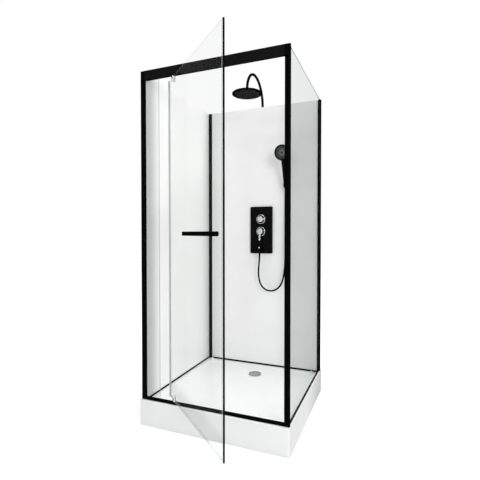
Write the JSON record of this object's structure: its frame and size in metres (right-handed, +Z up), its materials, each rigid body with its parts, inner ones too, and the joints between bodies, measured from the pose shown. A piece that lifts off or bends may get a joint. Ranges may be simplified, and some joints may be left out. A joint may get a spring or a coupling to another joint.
{
  "type": "shower cabin",
  "caption": "Square walk-in shower cabin with white tray and wall panels, black frame, off-set pivot glass door, control plate, hand shower and gooseneck rain head",
  "frame": {"origin": "Centre of the tray's square footprint on the floor, under the centre foot", "axes": "+X to the right along the front, +Y from the open front to the back wall, +Z up"},
  "size_m": [0.9, 1.3121, 2.2449],
  "materials": {
    "tray_acrylic": "glossy white sanitary acrylic",
    "white_panel": "glossy smooth white panel",
    "black_profile": "satin black powder coat",
    "black_metal": "matt black coat",
    "black_plastic": "matt black",
    "dark_grey_plastic": "matt dark grey with soft nozzles",
    "black_hose": "smooth satin black sheath",
    "black_rubber": "matt black",
    "clear_glass": "clear toughened glass with a faint green edge",
    "clear_seal": "clear soft seal",
    "chrome": "polished",
    "steel": "plain",
    "aluminium": "mill finish",
    "brass": "machined",
    "grey_plastic": "matt grey"
  },
  "bodies": {
    "root": {"shower_tray": "tray_acrylic", "tray_support": "grey_plastic", "tray_feet": "grey_plastic", "foot_lock_nuts": "steel", "drain_flange": "steel", "drain_gasket": "black_rubber", "waste_trap": "grey_plastic", "front_left_post": "black_profile", "front_right_post": "black_profile", "jamb_magnet": "black_rubber", "top_rail": "black_profile", "bottom_sill": "black_profile", "corner_keys": "aluminium", "pan_head_screws": "steel", "back_left_post": "black_profile", "back_right_post": "black_profile", "left_rail": "black_profile", "back_rail": "black_profile", "right_rail": "black_profile", "left_wall_panel": "white_panel", "back_wall_panel": "white_panel", "right_side_glass": "clear_glass", "fixed_front_glass": "clear_glass", "pivot_bushes": "black_plastic", "control_plate": "black_metal", "valve_body": "brass", "valve_clamp_nuts": "brass", "valve_cartridges": "grey_plastic", "knob_escutcheons": "chrome", "outlet_elbow": "black_metal", "lower_hose_nut": "black_metal", "shower_hose": "black_hose", "handset_holder": "black_plastic", "rain_arm": "black_metal", "arm_clip": "black_plastic", "swivel_ball": "brass"},
    "drain_cap": {"drain_cover": "chrome"},
    "door": {"door_glass": "clear_glass", "door_edge_seal": "clear_seal", "door_magnet_strip": "black_rubber", "door_tail_seal": "clear_seal", "door_drip_seal": "clear_seal", "pivot_clamps": "chrome", "pivot_clamp_backs": "chrome", "pivot_pins": "steel", "clamp_screws": "steel", "door_handle": "black_metal", "handle_stand_offs": "black_metal", "handle_washers": "clear_seal", "handle_caps": "black_metal"},
    "diverter": {"diverter_knob": "chrome"},
    "mixer_turning_hub": {"mixer_hub": "chrome"},
    "mixer_lifting_lever": {"mixer_lever": "chrome"},
    "hose_end": {"upper_hose_nut": "black_plastic"},
    "hand_shower": {"handset_body": "black_plastic", "handset_spray_plate": "dark_grey_plastic"},
    "head_seat": {"swivel_ring": "grey_plastic"},
    "overhead_shower": {"swivel_nut": "black_metal", "rain_head": "black_plastic", "rain_head_plate": "dark_grey_plastic"}
  },
  "joints": [
    {"name": "door_swing", "type": "hinge", "parent": "root", "child": "door", "pos_m": [-0.2265, -0.43, 0.1642], "axis": [0, 0, 1], "range_deg": [-49.8, 40.18]},
    {"name": "drain_cap_lift", "type": "slide", "parent": "root", "child": "drain_cap", "axis": [0, 0, 1], "range_m": [0, 0.02]},
    {"name": "diverter_turn", "type": "hinge", "parent": "root", "child": "diverter", "pos_m": [0.007, 0.389, 1.227], "axis": [0, 1, 0], "range_deg": [-45, 45]},
    {"name": "mixer_turn", "type": "hinge", "parent": "root", "child": "mixer_turning_hub", "pos_m": [0.007, 0.389, 1.136], "axis": [0, 1, 0], "range_deg": [-45, 45]},
    {"name": "mixer_lift", "type": "hinge", "parent": "mixer_turning_hub", "child": "mixer_lifting_lever", "pos_m": [0.007, 0.3762, 1.136], "axis": [-1, 0, 0], "range_deg": [0, 20]},
    {"name": "handset_lift", "type": "slide", "parent": "root", "child": "hose_end", "axis": [0, -0.3305, 0.9438], "range_m": [0, 0.045], "deforming": ["shower_hose"]},
    {"name": "handset_turn", "type": "hinge", "parent": "hose_end", "child": "hand_shower", "pos_m": [0.2, 0.36583, 1.49874], "axis": [0, -0.3305, 0.9438], "range_deg": [-60, 60]},
    {"name": "rain_head_roll", "type": "hinge", "parent": "root", "child": "head_seat", "pos_m": [0.007, 0.10945, 2.0776], "axis": [0, 1, 0], "range_deg": [-12, 12]},
    {"name": "rain_head_pitch", "type": "hinge", "parent": "head_seat", "child": "overhead_shower", "pos_m": [0.007, 0.10945, 2.0776], "axis": [1, 0, 0], "range_deg": [-12, 12]}
  ]
}
